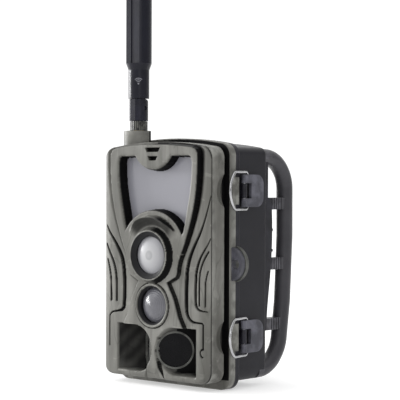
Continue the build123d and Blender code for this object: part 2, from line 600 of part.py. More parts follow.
def latch_bail(centre):
    """Wire loop: two stubs turn in the lever's ends and a bow reaches in front of the hook."""
    x, y = BAIL_AXIS
    lean = (0.16, -0.987)
    half = LEVER_HALF + 1.4
    corner = 2.0
    bend = 3.5
    bow = 14.0
    reach = 19.2
    bow_u = reach - bow
    bend_u = bow_u + ((bow - bend) ** 2 - (half - bend) ** 2) ** 0.5
    slope = ((bend_u - bow_u) / (bow - bend), (half - bend) / (bow - bend))
    middle = (slope[0] / (2 + 2 * slope[1]) ** 0.5, (1 + slope[1]) / (2 + 2 * slope[1]) ** 0.5)

    def at(run, z):
        return (x + run * lean[0], y + run * lean[1], centre + z)

    def arm(end):
        """Stub, arm and bend on one side of the loop, from the lever outwards."""
        turn = (corner * (1 - 0.7071), half - corner * (1 - 0.7071))
        tangent = (bow_u + bow * slope[0], bow * slope[1])
        return [Line(at(0, end * (half - 3.2)), at(0, end * (half - corner))),
                ThreePointArc(at(0, end * (half - corner)), at(turn[0], end * turn[1]), at(corner, end * half)),
                Line(at(corner, end * half), at(bend_u, end * half)),
                ThreePointArc(at(bend_u, end * half),
                              at(bend_u + bend * middle[0], end * (half - bend + bend * middle[1])),
                              at(tangent[0], end * tangent[1]))]

    top = at(bow_u + bow * slope[0], bow * slope[1])
    low = at(bow_u + bow * slope[0], -bow * slope[1])
    path = Wire(arm(-1) + [ThreePointArc(low, at(reach, 0), top)] + arm(1))
    section = Plane(origin=at(0, -(half - 3.2)), z_dir=(0, 0, -1)) * Circle(WIRE_R)
    return sweep(section, path=path)


def battery_parts():
    parts = {}
    half = 2 * CELL_PITCH + 1.6
    tray = block(-half, half, -3.0, BACK_Y - WALL, TRAY_LOW, TRAY_HIGH)
    tray -= block(-half + 1.5, half - 1.5, -4.0, CELL_Y + CELL_R + 0.4, TRAY_LOW + 1.6, 70.2)
    tray -= block(-half + 1.5, half - 1.5, -4.0, CELL_Y + CELL_R + 0.4, 71.8, TRAY_HIGH - 1.6)
    cells = []
    springs = []
    plates = []
    for column in range(4):
        x = (column - 1.5) * CELL_PITCH
        for low, high in ((TRAY_LOW + 1.6, 70.2), (71.8, TRAY_HIGH - 1.6)):
            up = 1 if column % 2 else -1
            middle = (low + high) / 2 + up * 1.2
            can = rod_z(CELL_R, middle - CELL_LENGTH / 2 + 0.4, middle + CELL_LENGTH / 2 - 0.6, x, CELL_Y)
            tip = middle + up * (CELL_LENGTH / 2 + 0.3)
            cells.append(can + rod_z(2.7, min(middle, tip), max(middle, tip), x, CELL_Y))
            far, near = (low, high) if up > 0 else (high, low)
            springs.append(leaf_spring(x, far, up, middle - up * (CELL_LENGTH / 2 - 0.4)))
            plates.append(block(x - 4.5, x + 4.5, CELL_Y - 4.5, CELL_Y + 4.5, min(near, near - up * 0.5),
                                max(near, near - up * 0.5)))
    parts["battery_tray"] = tray
    parts["battery_cells"] = group(cells)
    parts["battery_contacts"] = group(springs + plates)
    return parts


def leaf_spring(x, wall, up, cell_end):
    """Bent strip between the tray's wall and the flat end of a cell."""
    gap = up * (cell_end - wall) - 0.1
    foot = block(x - 3.0, x + 3.0, CELL_Y - 4.0, CELL_Y + 4.0, 0, 0.4)
    top = block(x - 3.0, x + 3.0, CELL_Y - 3.0, CELL_Y + 2.0, gap - 0.4, gap)
    leg = make_face(Polyline((CELL_Y + 3.6, 0.2), (CELL_Y + 4.0, 0.2), (CELL_Y + 2.0, gap), (CELL_Y + 1.6, gap),
                             close=True))
    strip = foot + top + Pos(x - 3.0, 0, 0) * extrude(Plane.YZ * leg, 6.0)
    return Pos(0, 0, wall) * strip if up > 0 else Pos(0, 0, wall) * mirror(strip, Plane.XY)


def tripod_parts():
    """Square boss that also serves as a foot, and the brass insert pressed into it."""
    boss = block(*TRIPOD_X, *TRIPOD_Y, 0, TRIPOD_HIGH) - rod_z(TRIPOD_INSERT_R, -1, TRIPOD_HIGH + 1, 0, 0)
    insert = rod_z(TRIPOD_INSERT_R, 0, TRIPOD_HIGH, 0, 0) - rod_z(TRIPOD_BORE_R, -1, TRIPOD_HIGH + 1, 0, 0)
    return {"tripod_boss": boss, "tripod_insert": insert}


def power_parts():
    """Power inlet in the underside and the rubber plug that covers it."""
    jack = rod_z(3.65, 6.4, 15.5, *JACK) - rod_z(2.75, 5, 14.5, *JACK)
    jack += rod_z(0.9, 7.5, 15.0, *JACK)
    plug = rod_z(4.8, 2.3, 3.8, *JACK) + rod_z(2.65, 3.7, 6.9, *JACK)
    return {"power_jack": jack, "power_plug": plug}


def build():
    parts = {"face_panel": face_panel(), "front_shell": front_shell(), "infrared_window": infrared_window(),
             "lens_ring": lens_ring(), "lens_cover": lens_cover(), "pir_ring": pir_ring(), "pir_lens": pir_lens(),
             "inner_panel": inner_panel(), "mode_switch": mode_switch(), "memory_card": memory_card()}
    parts.update(side_windows())
    parts.update(electronics())
    parts["panel_screws"] = screws_along_y(PANEL_SCREWS, PANEL_BACK_Y + 0.9, 8.0)
    for name, (x, z) in KEYS.items():
        parts[name] = key(x, z)
    parts["antenna_socket"] = antenna_socket()
    parts["antenna_nut"] = antenna_nut()
    parts["antenna_swivel"] = antenna_swivel()
    parts["antenna_blade"] = antenna_blade()
    parts["antenna_pin"] = rod_x(TILT_PIN_R, ANTENNA_X - 5.0, ANTENNA_X + 5.0, ANTENNA_Y, TILT_Z)
    parts["base_shell"] = base_shell()
    parts["gasket"] = gasket_ring(0.02)
    parts["hinge_pin"] = rod_z(HINGE_PIN_R, 18.6, 130.2, *HINGE_AXIS)
    parts["rear_bar_right"] = rear_bar(1)
    parts["rear_bar_left"] = rear_bar(-1)
    parts["tree_ribs"] = group([tree_rib(1), tree_rib(-1)])
    parts["cover_padlock_ear"] = cover_padlock_ear()
    parts["base_padlock_ear"] = base_padlock_ear()
    parts["latch_hooks"] = group([latch_hook(centre) for centre in LATCH_Z])
    parts["latch_lugs"] = group([latch_lug(centre) for centre in LATCH_Z])
    for name, centre in zip(("upper", "lower"), LATCH_Z):
        parts[name + "_latch_lever"] = latch_lever(centre)
        parts[name + "_latch_bail"] = latch_bail(centre)
    parts["latch_pins"] = group([rod_z(0.78, c - LEVER_HALF, c + LEVER_HALF, *LATCH_AXIS) for c in LATCH_Z])
    parts.update(battery_parts())
    parts.update(tripod_parts())
    parts.update(power_parts())
    return parts


for node, part in build().items():
    export_step(part, "parts/" + node + ".step")
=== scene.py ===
"""Trail camera: the looks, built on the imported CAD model, in metres and in its frame."""
import math

import bpy
import numpy as np
from mathutils import Matrix, Vector


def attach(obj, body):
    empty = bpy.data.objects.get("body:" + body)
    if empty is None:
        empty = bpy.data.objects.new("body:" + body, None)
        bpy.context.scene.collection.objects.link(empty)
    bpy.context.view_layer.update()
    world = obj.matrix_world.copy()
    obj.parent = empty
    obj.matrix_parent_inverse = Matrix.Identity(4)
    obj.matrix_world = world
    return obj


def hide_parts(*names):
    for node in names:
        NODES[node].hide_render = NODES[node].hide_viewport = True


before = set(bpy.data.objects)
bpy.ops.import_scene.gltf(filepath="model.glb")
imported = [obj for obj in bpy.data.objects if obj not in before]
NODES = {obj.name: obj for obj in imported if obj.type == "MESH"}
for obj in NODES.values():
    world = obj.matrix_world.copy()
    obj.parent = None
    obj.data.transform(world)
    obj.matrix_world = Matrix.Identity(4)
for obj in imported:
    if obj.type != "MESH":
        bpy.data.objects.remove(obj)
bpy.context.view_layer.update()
MM = 0.001

# places that materials follow, in metres
NUT_AXIS = (-0.0253, -0.0249)         # X and Y of the antenna
NUT_RIDGES = 26.0
CHANNEL_FRONT, CHANNEL_BACK = -0.0234, -0.02105   # Y of the channel round the cover, which gets painted shade
CHANNEL_LOW = 0.0062                  # Z above which the channel gets painted shade
RING_SPAN = 0.012                     # distance from a lens's middle at which its colours end
CELL_LOW, CELL_HALF = 0.0146, 0.0286  # lowest Z of the cells and half the pitch of their two rows


# ---- material helpers ----
class Surface:
    """A material under construction: a Principled shader and the nodes that feed it."""

    def __init__(self, name, **values):
        self.material = bpy.data.materials.new(name)
        self.material.use_nodes = True
        self.tree = self.material.node_tree
        self.shader = self.tree.nodes["Principled BSDF"]
        self.place = self.add("ShaderNodeTexCoord").outputs["Object"]
        for socket, value in values.items():
            self.shader.inputs[socket.replace("_", " ")].default_value = value

    def add(self, kind, **settings):
        node = self.tree.nodes.new(kind)
        for key, value in settings.items():
            setattr(node, key, value)
        return node

    def link(self, source, target):
        self.tree.links.new(source, target)

    def feed(self, node, **sockets):
        """Sets a node's inputs: a socket is linked, a plain value is written."""
        for key, value in sockets.items():
            target = node.inputs[key.replace("_", " ")]
            if isinstance(value, bpy.types.NodeSocket):
                self.link(value, target)
            else:
                target.default_value = value
        return node

    def stretched(self, scale, turn=(0, 0, 0)):
        """Coordinates scaled by a different amount along each axis."""
        node = self.add("ShaderNodeMapping")
        self.feed(node, Vector=self.place, Rotation=turn, Scale=scale)
        return node.outputs["Vector"]

    def axes(self):
        """The object coordinates X, Y and Z, one by one."""
        parts = self.add("ShaderNodeSeparateXYZ")
        self.link(self.place, parts.inputs[0])
        return parts.outputs[0], parts.outputs[1], parts.outputs[2]

    def noise(self, scale, detail=4.0, rough=0.5, distort=0.0, where=None):
        """Cloudy values from 0 to 1."""
        node = self.add("ShaderNodeTexNoise")
        self.feed(node, Vector=where or self.place, Scale=scale, Detail=detail, Roughness=rough,
                  Distortion=distort)
        return node.outputs["Fac"]

    def ramp(self, factor, *stops):
        """Colours or grey values at their positions, with straight runs between them."""
        node = self.add("ShaderNodeValToRGB")
        elements = node.color_ramp.elements
        while len(elements) < len(stops):
            elements.new(0.5)
        for element, (position, colour) in zip(elements, stops):
            element.position = position
            element.color = (*colour, 1.0) if isinstance(colour, tuple) else (colour, colour, colour, 1.0)
        self.link(factor, node.inputs["Fac"])
        return node.outputs["Color"]

    def mix(self, factor, low, high):
        """Goes from the low colour to the high one as the factor runs from 0 to 1."""
        node = self.add("ShaderNodeMix", data_type="RGBA")
        for index, value in ((0, factor), (6, low), (7, high)):
            target = node.inputs[index]
            if isinstance(value, bpy.types.NodeSocket):
                self.link(value, target)
            elif index:
                target.default_value = (*value, 1.0)
            else:
                target.default_value = value
        return node.outputs[2]

    def math(self, operation, first, second=0.0, third=0.0):
        """One calculation on sockets or plain values."""
        node = self.add("ShaderNodeMath", operation=operation)
        for index, value in enumerate((first, second, third)):
            if isinstance(value, bpy.types.NodeSocket):
                self.link(value, node.inputs[index])
            else:
                node.inputs[index].default_value = value
        return node.outputs[0]

    def colour(self, source):
        self.link(source, self.shader.inputs["Base Color"])

    def roughness(self, source, low, high):
        """Roughness that runs from low to high as the source runs from 0 to 1."""
        span = self.math("MULTIPLY_ADD", source, high - low, low)
        self.link(span, self.shader.inputs["Roughness"])

    def bump(self, height, strength, distance):
        node = self.add("ShaderNodeBump")
        self.feed(node, Height=height, Strength=strength, Distance=distance)
        self.link(node.outputs["Normal"], self.shader.inputs["Normal"])

    def worn(self, colour, pale, amount):
        """Lightens convex edges, broken up so that the wear looks handled."""
        edge = self.ramp(self.add("ShaderNodeNewGeometry").outputs["Pointiness"], (0.52, 0.0), (0.60, 1.0))
        patch = self.ramp(self.noise(160.0), (0.40, 0.0), (0.62, 1.0))
        factor = self.math("MULTIPLY", self.math("MULTIPLY", edge, patch), amount)
        return self.mix(factor, colour, pale)


# ---- materials ----
def camo_plastic():
    """Grey-green moulding with a faint bark pattern, with painted shade (near-black colour) in its recesses
    and in the cover's channel.
    """
    s = Surface("camo_plastic", IOR=1.46)
    cloud = s.noise(26.0, 3.0, 0.55, 0.6, s.stretched((1.0, 1.0, 0.45), (0.2, 0.1, 0.0)))
    patches = s.ramp(cloud, (0.34, (0.092, 0.090, 0.081)), (0.50, (0.150, 0.148, 0.134)),
                     (0.66, (0.222, 0.219, 0.202)))
    bark = s.noise(90.0, 6.0, 0.62, 0.8, s.stretched((1.0, 1.0, 0.10), (0.12, 0.18, 0.0)))
    barked = s.mix(s.ramp(bark, (0.42, 0.0), (0.68, 0.70)), patches, (0.074, 0.073, 0.064))
    twig_path = s.noise(17.0, 2.0, 0.5, 1.4, s.stretched((1.0, 1.0, 0.5), (0.5, 0.7, 0.3)))
    twig = s.ramp(twig_path, (0.493, 0.0), (0.500, 1.0), (0.507, 0.0))
    twigged = s.mix(s.math("MULTIPLY", twig, 0.45), barked, (0.052, 0.055, 0.045))
    leaf = s.ramp(s.noise(60.0, 2.0, 0.5, 2.0), (0.63, 0.0), (0.68, 0.35))
    coloured = s.mix(leaf, twigged, (0.262, 0.257, 0.235))
    worn = s.worn(coloured, (0.40, 0.40, 0.37), amount=0.45)
    _, depth, height = s.axes()
    # painted shade: a near-black band in the channel between the shell and its flange
    front, back = 3.0 + 100.0 * CHANNEL_FRONT, 3.0 + 100.0 * CHANNEL_BACK
    band = s.ramp(s.math("MULTIPLY_ADD", depth, 100.0, 3.0), (front - 0.005, 0.0), (front + 0.005, 1.0),
                  (back - 0.005, 1.0), (back + 0.005, 0.0))
    channel = s.math("MULTIPLY", band, s.math("GREATER_THAN", height, CHANNEL_LOW))
    # painted shade of the face's recesses and walls, read from its 'shade' attribute and mixed in as
    # near-black colour
    recess_shade = s.add("ShaderNodeAttribute", attribute_name="shade").outputs["Fac"]
    painted_shade = s.math("MAXIMUM", channel, recess_shade)
    s.colour(s.mix(painted_shade, worn, (0.0040, 0.0040, 0.0042)))
    s.feed(s.shader, Specular_IOR_Level=s.math("MULTIPLY_ADD", painted_shade, -0.24, 0.30))
    s.roughness(s.noise(300.0, 3.0), 0.40, 0.58)
    s.bump(s.noise(5200.0, 2.0, 0.7), 0.10, 0.0002)
    return s.material


def black_plastic(name="black_plastic", tint=(0.0085, 0.0083, 0.0115), rough=(0.36, 0.52), grain=4200.0):
    """Mottled, lightly scuffed plastic of one tint, paler where it is worn."""
    s = Surface(name, IOR=1.46, Specular_IOR_Level=0.26)
    pale = tuple(3.0 * value for value in tint)
    mottled = s.ramp(s.noise(45.0, 5.0, 0.6), (0.35, tint), (0.70, tuple(1.35 * value for value in tint)))
    scuffs = s.ramp(s.noise(260.0, 4.0, 0.7, 0.5, s.stretched((1.0, 1.0, 0.25))), (0.66, 0.0), (0.78, 0.30))
    s.colour(s.worn(s.mix(scuffs, mottled, pale), pale, amount=0.6))
    s.roughness(s.noise(220.0, 4.0), *rough)
    s.bump(s.noise(grain, 2.0, 0.7), 0.14, 0.0002)
    return s.material


def knurled_plastic():
    """Dark plastic with pale worn ridges that run up the antenna's nut."""
    s = Surface("knurled_plastic", IOR=1.46)
    across, depth, _ = s.axes()
    angle = s.math("ARCTAN2", s.math("SUBTRACT", depth, NUT_AXIS[1]), s.math("SUBTRACT", across, NUT_AXIS[0]))
    ridges = s.math("MULTIPLY_ADD", s.math("SINE", s.math("MULTIPLY", angle, NUT_RIDGES)), 0.5, 0.5)
    patchy = s.math("MULTIPLY", ridges, s.ramp(s.noise(420.0, 3.0, 0.6), (0.38, 0.25), (0.62, 1.0)))
    s.colour(s.ramp(patchy, (0.25, (0.010, 0.010, 0.010)), (0.75, (0.125, 0.127, 0.110))))
    s.roughness(s.noise(300.0, 3.0), 0.34, 0.48)
    s.bump(ridges, 0.6, 0.0003)
    return s.material


def window_plastic():
    """Milky lilac window over the infrared lamps."""
    s = Surface("window_plastic", IOR=1.49, Coat_Weight=0.6, Coat_Roughness=0.06)
    cloud = s.noise(16.0, 2.0, 0.4)
    s.colour(s.ramp(cloud, (0.35, (0.205, 0.205, 0.232)), (0.65, (0.232, 0.232, 0.260))))
    s.roughness(s.noise(500.0, 3.0), 0.30, 0.38)
    s.bump(s.noise(2600.0, 1.0), 0.03, 0.0001)
    return s.material


def ringed(name, centre, stops, rough, ring_pitch=0.0, **values):
    """Round lens, coloured by the distance from its middle (X, Z); a stop at 1 is RING_SPAN away."""
    s = Surface(name, **values)
    place_x, _, place_z = s.axes()
    across = s.math("SUBTRACT", place_x, centre[0])
    upward = s.math("SUBTRACT", place_z, centre[1])
    square = s.math("ADD", s.math("MULTIPLY", across, across), s.math("MULTIPLY", upward, upward))
    radius = s.math("SQRT", square)
    wavering = s.math("MULTIPLY_ADD", s.noise(120.0, 3.0), 0.0008, s.math("SUBTRACT", radius, 0.0004))
    s.colour(s.ramp(s.math("MULTIPLY", wavering, 1.0 / RING_SPAN), *stops))
    s.roughness(s.noise(400.0, 3.0), *rough)
    if ring_pitch:
        rings = s.math("SINE", s.math("MULTIPLY", radius, 2 * math.pi / ring_pitch))
        s.bump(rings, 0.5, 0.0001)
    else:
        s.bump(s.noise(1800.0, 2.0), 0.08, 0.0001)
    return s.material


def dark_glass():
    """Nearly black glass with a weak gloss."""
    s = Surface("dark_glass", IOR=1.5, Specular_IOR_Level=0.12)
    s.colour(s.ramp(s.noise(120.0, 3.0), (0.4, (0.002, 0.002, 0.003)), (0.7, (0.004, 0.004, 0.005))))
    s.roughness(s.noise(350.0, 4.0), 0.22, 0.34)
    s.bump(s.noise(1500.0, 2.0), 0.04, 0.0001)
    return s.material


def metal(name, colour, rough, grain=(1.0, 1.0, 1.0)):
    """Metal with dull patches and fine lines, which the grain stretches."""
    s = Surface(name, Metallic=1.0)
    dull = tuple(0.62 * value for value in colour)
    tarnish = s.noise(150.0, 5.0, 0.65)
    s.colour(s.ramp(tarnish, (0.30, dull), (0.58, colour)))
    lines = s.noise(900.0, 4.0, 0.6, 0.0, s.stretched(grain))
    s.roughness(lines, *rough)
    s.bump(lines, 0.12, 0.0001)
    return s.material


def rubber(name, tint):
    """Matt rubber with paler dust on it."""
    s = Surface(name, IOR=1.5)
    dusty = s.ramp(s.noise(90.0, 6.0, 0.7), (0.35, tint), (0.75, tuple(1.8 * value for value in tint)))
    s.colour(dusty)
    s.roughness(s.noise(300.0, 3.0), 0.62, 0.82)
    s.bump(s.noise(3000.0, 3.0, 0.8), 0.25, 0.0002)
    return s.material


def circuit_board():
    """Green solder mask with the paler copper tracks showing through."""
    s = Surface("circuit_board", IOR=1.5, Coat_Weight=0.3, Coat_Roughness=0.2)
    cells = s.add("ShaderNodeTexVoronoi", distance="MANHATTAN", feature="F1")
    s.feed(cells, Vector=s.place, Scale=420.0)
    tracks = s.ramp(cells.outputs["Distance"], (0.30, 0.0), (0.36, 1.0))
    s.colour(s.mix(tracks, (0.030, 0.150, 0.060), (0.010, 0.075, 0.032)))
    s.roughness(s.noise(500.0, 3.0), 0.28, 0.45)
    s.bump(cells.outputs["Distance"], 0.2, 0.0001)
    return s.material


def printed_sleeve():
    """Plain shrink sleeve of a cell, with a coloured band."""
    s = Surface("cell_sleeve", IOR=1.5, Coat_Weight=0.5, Coat_Roughness=0.12)
    height = s.axes()[2]
    band = s.math("PINGPONG", s.math("SUBTRACT", height, CELL_LOW), CELL_HALF)
    body = s.ramp(s.math("MULTIPLY", band, 30.0), (0.22, (0.55, 0.36, 0.10)), (0.24, (0.018, 0.020, 0.024)))
    s.colour(s.mix(s.ramp(s.noise(400.0, 4.0), (0.62, 0.0), (0.80, 0.4)), body, (0.20, 0.19, 0.17)))
    s.roughness(s.noise(260.0, 3.0), 0.22, 0.40)
    s.bump(s.noise(900.0, 2.0), 0.05, 0.0001)
    return s.material


def screen_glass():
    """Glossy dark cover of the display."""
    s = Surface("screen_glass", IOR=1.5, Coat_Weight=0.8, Coat_Roughness=0.04)
    s.colour(s.ramp(s.noise(70.0, 2.0), (0.35, (0.010, 0.012, 0.020)), (0.7, (0.018, 0.021, 0.032))))
    s.roughness(s.noise(300.0, 4.0), 0.10, 0.22)
    s.bump(s.noise(1200.0, 2.0), 0.02, 0.0001)
    return s.material


def pale_floor():
    """Plain white ground that glows a little, so that it meets the background without an edge."""
    s = Surface("pale_floor", IOR=1.4, Specular_IOR_Level=0.1, Emission_Color=(1.0, 1.0, 1.0, 1.0),
                Emission_Strength=0.45)
    s.colour(s.ramp(s.noise(3.0, 3.0), (0.3, (0.62, 0.62, 0.62)), (0.7, (0.64, 0.64, 0.64))))
    s.roughness(s.noise(20.0, 2.0), 0.80, 0.95)
    return s.material


LENS = (0.0, 0.0788)
PIR = (0.0, 0.0488)
LAMPS = (0.0, 0.12)
CAMO = camo_plastic()
BLACK = black_plastic()
SATIN_BLACK = black_plastic("satin_black", (0.0060, 0.0062, 0.0110), (0.26, 0.38), 5200.0)
# painted light: the rear bars get a lighter copy of black plastic, standing in for the light their round
# sides catch
LIT_BAR_BLACK = black_plastic("bar_black_lit", (0.040, 0.039, 0.044), (0.28, 0.40))
KNURLED = knurled_plastic()
PRINT = black_plastic("pale_print", (0.16, 0.16, 0.18), (0.5, 0.6))
RING_GREY = black_plastic("ring_grey", (0.060, 0.061, 0.056), (0.34, 0.46))
LEVER_BLACK = black_plastic("lever_black", (0.048, 0.048, 0.058), (0.34, 0.48))
DEEP_BLACK = black_plastic("deep_black", (0.004, 0.004, 0.005), (0.42, 0.60), 3000.0)
WINDOW = window_plastic()
LENS_FROST = ringed("lens_frost", LENS, ((0.0, (0.31, 0.31, 0.32)), (0.20, (0.27, 0.275, 0.28)),
                    (0.28, (0.36, 0.36, 0.37)), (0.60, (0.32, 0.32, 0.335)), (0.92, (0.20, 0.20, 0.215))),
                    (0.30, 0.44), Coat_Weight=0.2, Coat_Roughness=0.12)
PIR_FILM = ringed("pir_film", PIR, ((0.0, (0.080, 0.080, 0.092)), (0.85, (0.125, 0.125, 0.142))),
                  (0.24, 0.36), ring_pitch=0.0011, Coat_Weight=0.3, Coat_Roughness=0.1)
DARK_GLASS = dark_glass()
CHROME = metal("chrome_wire", (0.46, 0.46, 0.47), (0.14, 0.28))
STEEL = metal("plated_steel", (0.58, 0.58, 0.59), (0.26, 0.42), (1.0, 1.0, 0.2))
BRASS = metal("turned_brass", (0.74, 0.55, 0.24), (0.22, 0.36), (0.3, 0.3, 1.0))
RUBBER = rubber("black_rubber", (0.014, 0.014, 0.015))
KEY_RUBBER = rubber("key_silicone", (0.075, 0.078, 0.085))
BOARD = circuit_board()
SLEEVE = printed_sleeve()
SCREEN = screen_glass()
EPOXY = ringed("led_epoxy", LAMPS, ((0.0, (0.42, 0.40, 0.46)), (1.0, (0.36, 0.34, 0.40))), (0.08, 0.16),
               Coat_Weight=0.5)

FINISH = (
    (CAMO, ("face_panel", "front_shell", "latch_hooks")),
    (BLACK, ("inner_panel", "base_shell", "battery_tray", "tripod_boss", "tree_ribs", "latch_lugs")),
    (SATIN_BLACK, ("memory_card", "mode_switch", "antenna_swivel", "antenna_pin", "antenna_blade")),
    (LIT_BAR_BLACK, ("rear_bar_right", "rear_bar_left")),
    (KNURLED, ("antenna_nut",)),
    (RING_GREY, ("side_window_rings", "base_padlock_ear")),
    (LEVER_BLACK, ("upper_latch_lever", "lower_latch_lever", "cover_padlock_ear")),
    (DEEP_BLACK, ("lens_ring", "pir_ring", "main_chips", "speaker", "lens_barrel", "filter_carrier",
                  "power_jack")),
    (WINDOW, ("infrared_window",)),
    (LENS_FROST, ("lens_cover",)),
    (PIR_FILM, ("pir_lens",)),
    (DARK_GLASS, ("side_sensor_lenses", "taking_lens", "filter_slider")),
    (CHROME, ("upper_latch_bail", "lower_latch_bail")),
    (STEEL, ("side_sensors", "panel_screws", "card_socket", "pir_sensor", "microphone", "hinge_pin",
             "latch_pins", "battery_contacts")),
    (BRASS, ("antenna_socket", "tripod_insert")),
    (RUBBER, ("gasket", "power_plug")),
    (KEY_RUBBER, ("key_up", "key_down", "key_left", "key_right", "key_ok")),
    (BOARD, ("main_board", "led_board", "sensor_boards")),
    (SLEEVE, ("battery_cells",)),
    (SCREEN, ("screen",)),
    (EPOXY, ("infrared_leds",)),
)


def finish_nodes():
    """Gives every CAD node its material."""
    for material, names in FINISH:
        for name in names:
            mesh = NODES[name].data
            mesh.materials.clear()
            mesh.materials.append(material)


# ---- face moulding, built as a relief: every point's depth follows from its X and Z, in millimetres ----
FACE_Y, PANEL_Y, SEAM_Y, WINDOW_Y = -39.2, -36.9, -34.0, -32.35
HALF_WIDTH, CORNER_R = 43.1, 7.0
CORNER_X = HALF_WIDTH - CORNER_R
SIDE_ROLL, SIDE_FALL = 6.5, 2.0       # width and depth of the fall towards the moulding's sides
SEEN_SHIFT = 0.895                    # sideways step per depth that keeps a groove in line with the view
EDGE = 0.05                           # how close to a contour a point counts as on it
SNAP = 0.29                           # points closer to a contour than this are moved onto it
CURVE_STEPS = 5                       # runs between two points of a groove's line

LENS_Z, LENS_BORE_R, TUBE_R, TUBE_SLOPE = 78.8, 14.3, 17.0, 2.1
HOOD_R, CREST_R, HOOD_RISE = 24.0, 23.0, 3.9
PIR_Z, PIR_BORE_R, PIR_RING_R, MOAT_R = 48.8, 11.75, 13.2, 13.9
LEDGE_R, TONGUE_Z, TONGUE_R = 26.8, 147.0, 17.5
WINDOW_SHIFT, POCKET_SHIFT = 2.3, 1.9  # how much nearer to the middle the left side lies
POCKET_X, POCKET_Z, POCKET_HALF_X, POCKET_HALF_Z = 24.9, 22.3, 8.1, 14.2
POCKET_ARC_X, POCKET_ARC_R = 16.8, 14.2
SLOPE_X, SLOPE_ANGLE = 1.2, 40.0      # where the pocket's sensor wall starts, and its angle
FACING_RIGHT_X, FACING_LEFT_X, FACING_ANGLE = 34.0, 32.1, 45.3
SEAT_ALONG, SEAT_R = 13.2, 11.1       # the side window's place along the sensor wall, and its radius
BOSS_X, BOSS_Z, BOSS_R, BOSS_GROOVE_R = 39.4, 23.0, 2.1, 3.1

PLATE = ((-6, 145.0), (12, 144.7), (24, 143.9), (31, 143.0), (34.2, 141.8), (35.6, 139.6), (35.8, 136.5),
         (35.7, 129), (35.3, 123), (34.8, 118), (33.9, 112.5), (32.6, 106.5), (30.9, 100.5), (28.6, 93.5),
         (26.1, 86.8), (23.4, 80.8), (21.5, 76.5), (20.4, 72.4), (20.0, 68.8), (18.9, 66.5), (11.9, 62.9),
         (17.2, 53.8), (19.9, 46.6), (21.3, 42.4), (24.5, 37.0), (24.5, 33), (4.5, 30), (2.5, 22), (4.5, 13),
         (8, 2), (-6, 2))
WINDOW_EDGE = ((-6, 137.8), (28.6, 137.8), (30.2, 136.8), (30.9, 134), (30.7, 127), (30.0, 120),
               (28.6, 112.5), (26.8, 104), (25.3, 97), (24.4, 93.4), (23.2, 91.6), (-6, 90))
# centre lines of the grooves: distance from the middle, Z and width
RIGHT_A = ((44.6, 114.2, 0.8), (42.5, 107.8, 1.0), (39.6, 99.8, 1.2), (36.2, 92.4, 1.6), (32.6, 86.3, 2.0),
           (29.6, 80.8, 2.4), (27.4, 75.2, 2.7), (26.2, 69.5, 2.9), (25.8, 62.0, 3.0), (25.8, 49.0, 2.9),
           (26.5, 44.8, 2.3), (28.6, 41.9, 1.7), (31.6, 40.6, 1.2), (35.5, 40.4, 1.0), (38.0, 40.3, 1.0))
RIGHT_TAIL = ((38.0, 40.3, 1.0), (38.85, 39.4, 1.1), (38.85, 24.9, 1.1))
RIGHT_B = ((44.4, 89.6, 0.7), (42.0, 85.8, 0.9), (39.0, 81.9, 1.2), (36.6, 78.3, 1.5), (34.8, 74.3, 1.8),
           (33.5, 69.6, 2.0), (33.0, 64.0, 2.1), (33.0, 52.4, 2.0), (33.8, 49.6, 1.6), (35.6, 48.0, 1.1),
           (38.8, 47.4, 0.7), (42.4, 47.2, 0.5))
RIGHT_C = ((42.9, 82.0, 1.2), (40.7, 79.1, 1.3), (38.5, 75.6, 1.3), (36.8, 71.4, 1.3), (35.9, 66.8, 1.3),
           (35.75, 50.6, 1.3))
RIGHT_D = ((42.5, 70.6, 1.2), (41.2, 66.8, 1.2), (40.5, 62.4, 1.2), (40.4, 50.3, 1.2))
LEFT_A = ((40.4, 95.6, 0.8), (38.0, 91.6, 1.2), (34.8, 87.6, 1.7), (31.6, 83.5, 2.2), (29.0, 79.6, 2.6),
          (26.8, 74.8, 2.9), (25.7, 69.0, 3.0), (25.3, 62.6, 3.0), (25.5, 48.5, 2.9), (27.0, 45.0, 2.2),
          (30.5, 43.8, 1.3), (35.2, 42.9, 1.0), (37.3, 41.3, 1.0), (38.0, 38.5, 1.0), (38.0, 22.3, 1.0))
LEFT_B = ((40.6, 84.4, 1.0), (38.4, 79.9, 1.3), (35.0, 73.8, 1.7), (33.0, 68.0, 1.8), (32.2, 62.0, 1.8),
          (32.0, 50.2, 1.7))
LEFT_C = ((39.8, 75.0, 1.0), (38.2, 69.6, 1.4), (37.0, 62.4, 1.5), (36.7, 50.0, 1.5))
# each groove with its depth
RIGHT_GROOVES = ((RIGHT_A, 1.6), (RIGHT_TAIL, 1.2), (RIGHT_B, 1.5), (RIGHT_C, 1.3), (RIGHT_D, 1.3))
LEFT_GROOVES = ((LEFT_A, 1.6), (LEFT_B, 1.5), (LEFT_C, 1.4))
SLOTS = (((-6.0, 142.8), (6.0, 142.8), (4.7, 140.4), (-4.7, 140.4)),
         ((-3.8, 137.7), (3.8, 137.7), (2.7, 135.4), (-2.7, 135.4)))


def curve(points):
    """Smooth line through the points, whose columns are all interpolated alike."""
    known = np.array(points, float)
    known = np.vstack([2 * known[0] - known[1], known, 2 * known[-1] - known[-2]])
    line = []
    for a, b, c, d in zip(known, known[1:], known[2:], known[3:]):
        square, cube = 2 * a - 5 * b + 4 * c - d, 3 * b - a - 3 * c + d
        for t in np.arange(CURVE_STEPS) / CURVE_STEPS:
            line.append(0.5 * (2 * b + (c - a) * t + square * t**2 + cube * t**3))
    return np.array(line + [known[-2]])


def beside(line, x, z):
    """Distance outside a groove whose width is the line's third column; negative inside it."""
    gap = np.full(x.shape, 1e9)
    for (x0, z0, w0), (x1, z1, w1) in zip(line, line[1:]):
        dx, dz = x1 - x0, z1 - z0
        t = np.clip(((x - x0) * dx + (z - z0) * dz) / (dx * dx + dz * dz), 0, 1)
        gap = np.minimum(gap, np.hypot(x - x0 - t * dx, z - z0 - t * dz) - (w0 + t * (w1 - w0)) / 2)
    return gap


